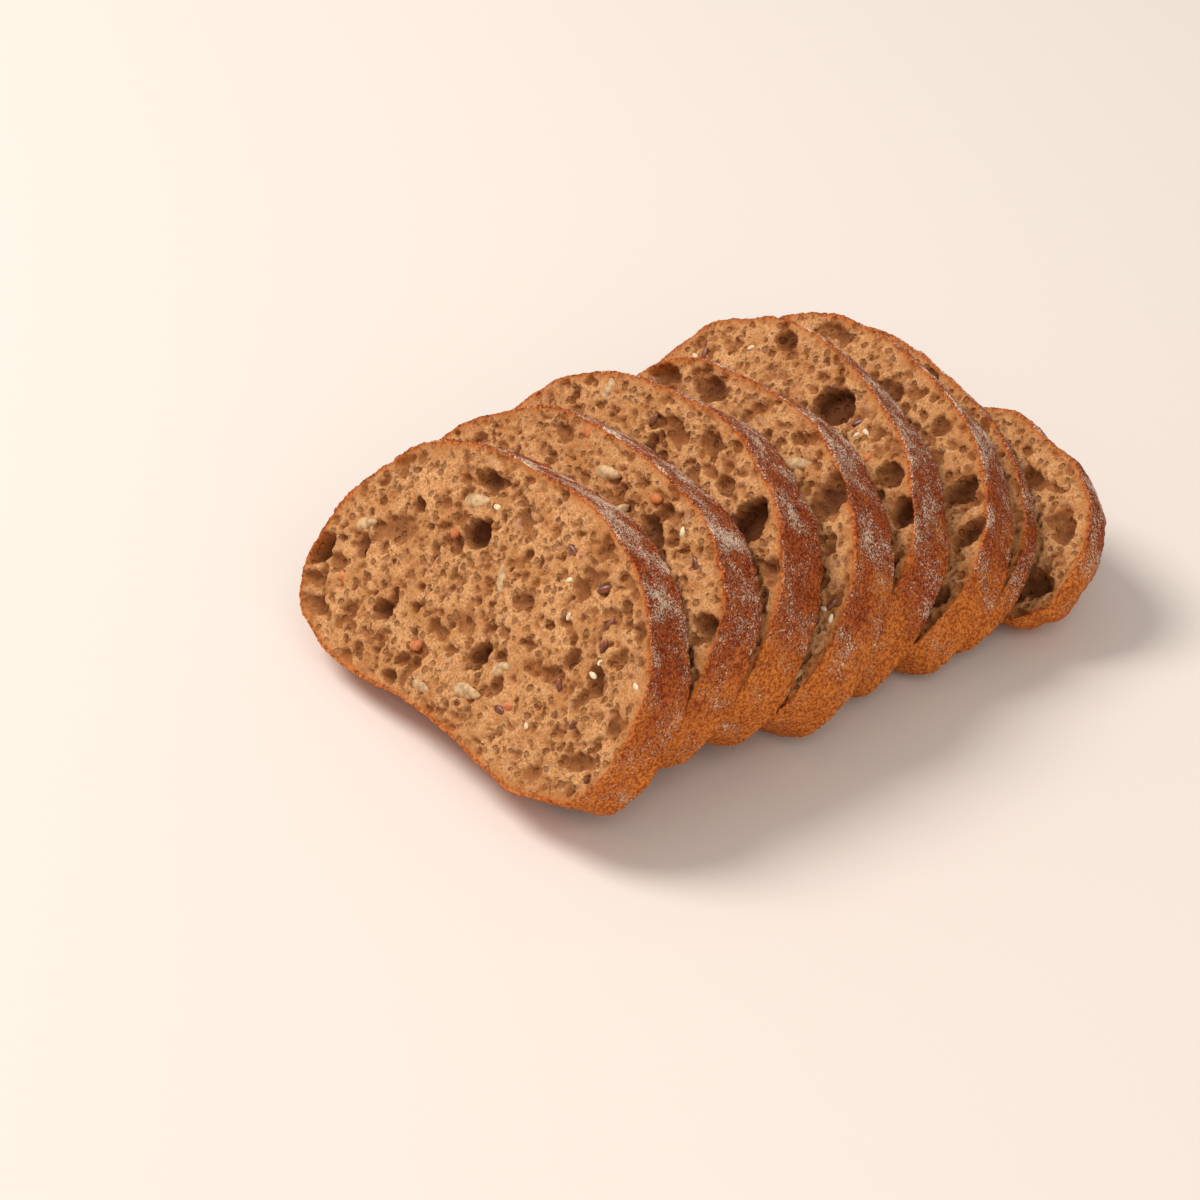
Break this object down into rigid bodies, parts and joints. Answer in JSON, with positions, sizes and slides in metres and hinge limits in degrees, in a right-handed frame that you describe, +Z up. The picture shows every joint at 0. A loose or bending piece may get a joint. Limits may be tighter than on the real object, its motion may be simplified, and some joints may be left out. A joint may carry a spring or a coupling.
{
  "type": "sliced rye bread loaf",
  "caption": "Sliced mixed rye loaf with a domed crust and flat base, its slices leaning back on one another and on the rounded end piece.",
  "frame": {"origin": "middle of the loaf's footprint, on the table", "axes": "+Z up, the cut faces look towards -Y and up, the slices follow one another towards +Y and their width runs along X"},
  "size_m": [0.1594, 0.2138, 0.0789],
  "materials": {
    "bread": "matte porous crumb with a baked crust"
  },
  "bodies": {
    "root": {"slice_1": "bread", "slice_2": "bread", "slice_3": "bread", "slice_4": "bread", "slice_5": "bread", "slice_6": "bread", "slice_7": "bread", "heel": "bread"}
  },
  "joints": []
}
